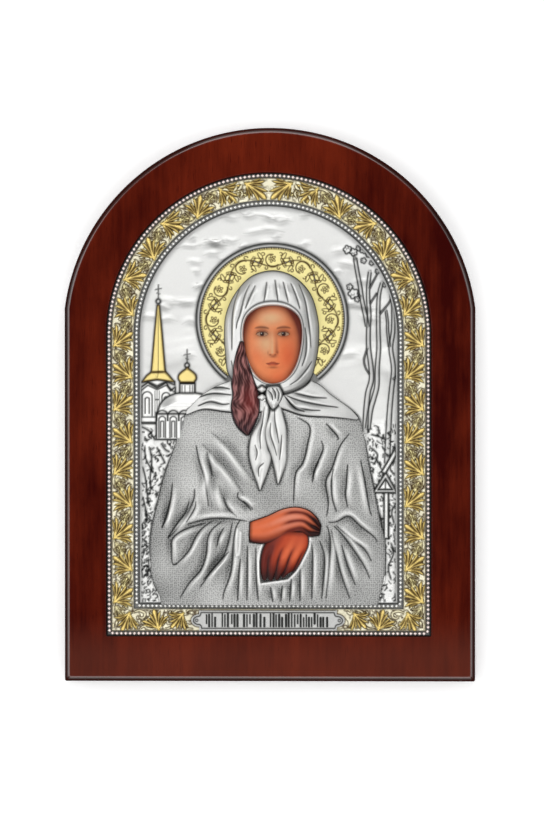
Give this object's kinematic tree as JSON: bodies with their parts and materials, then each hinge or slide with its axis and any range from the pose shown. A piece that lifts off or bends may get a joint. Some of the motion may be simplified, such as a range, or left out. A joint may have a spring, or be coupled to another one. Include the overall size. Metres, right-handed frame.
{
  "type": "icon panel",
  "caption": "Arched icon panel: a polished mahogany board with an embossed, partly gilded silver cover of a veiled saint, with painted head and hands",
  "frame": {"origin": "the middle of the underside of the board, which lies on its back", "axes": "+Z out of the picture, +Y towards the top of the arch, +X to the viewer's right"},
  "size_m": [0.2, 0.2694, 0.0251],
  "materials": {
    "mahogany": "polished, gloss lacquer over mahogany veneer",
    "embossed_silver": "embossed silver with dark patina in the grooves, gilded leaves, halo and spires",
    "painted_flesh": "painted in warm browns under a satin varnish"
  },
  "bodies": {
    "root": {"wood_panel": "mahogany", "silver_cover": "embossed_silver", "painted_head_inlay": "painted_flesh", "painted_hands_inlay": "painted_flesh"}
  },
  "joints": []
}
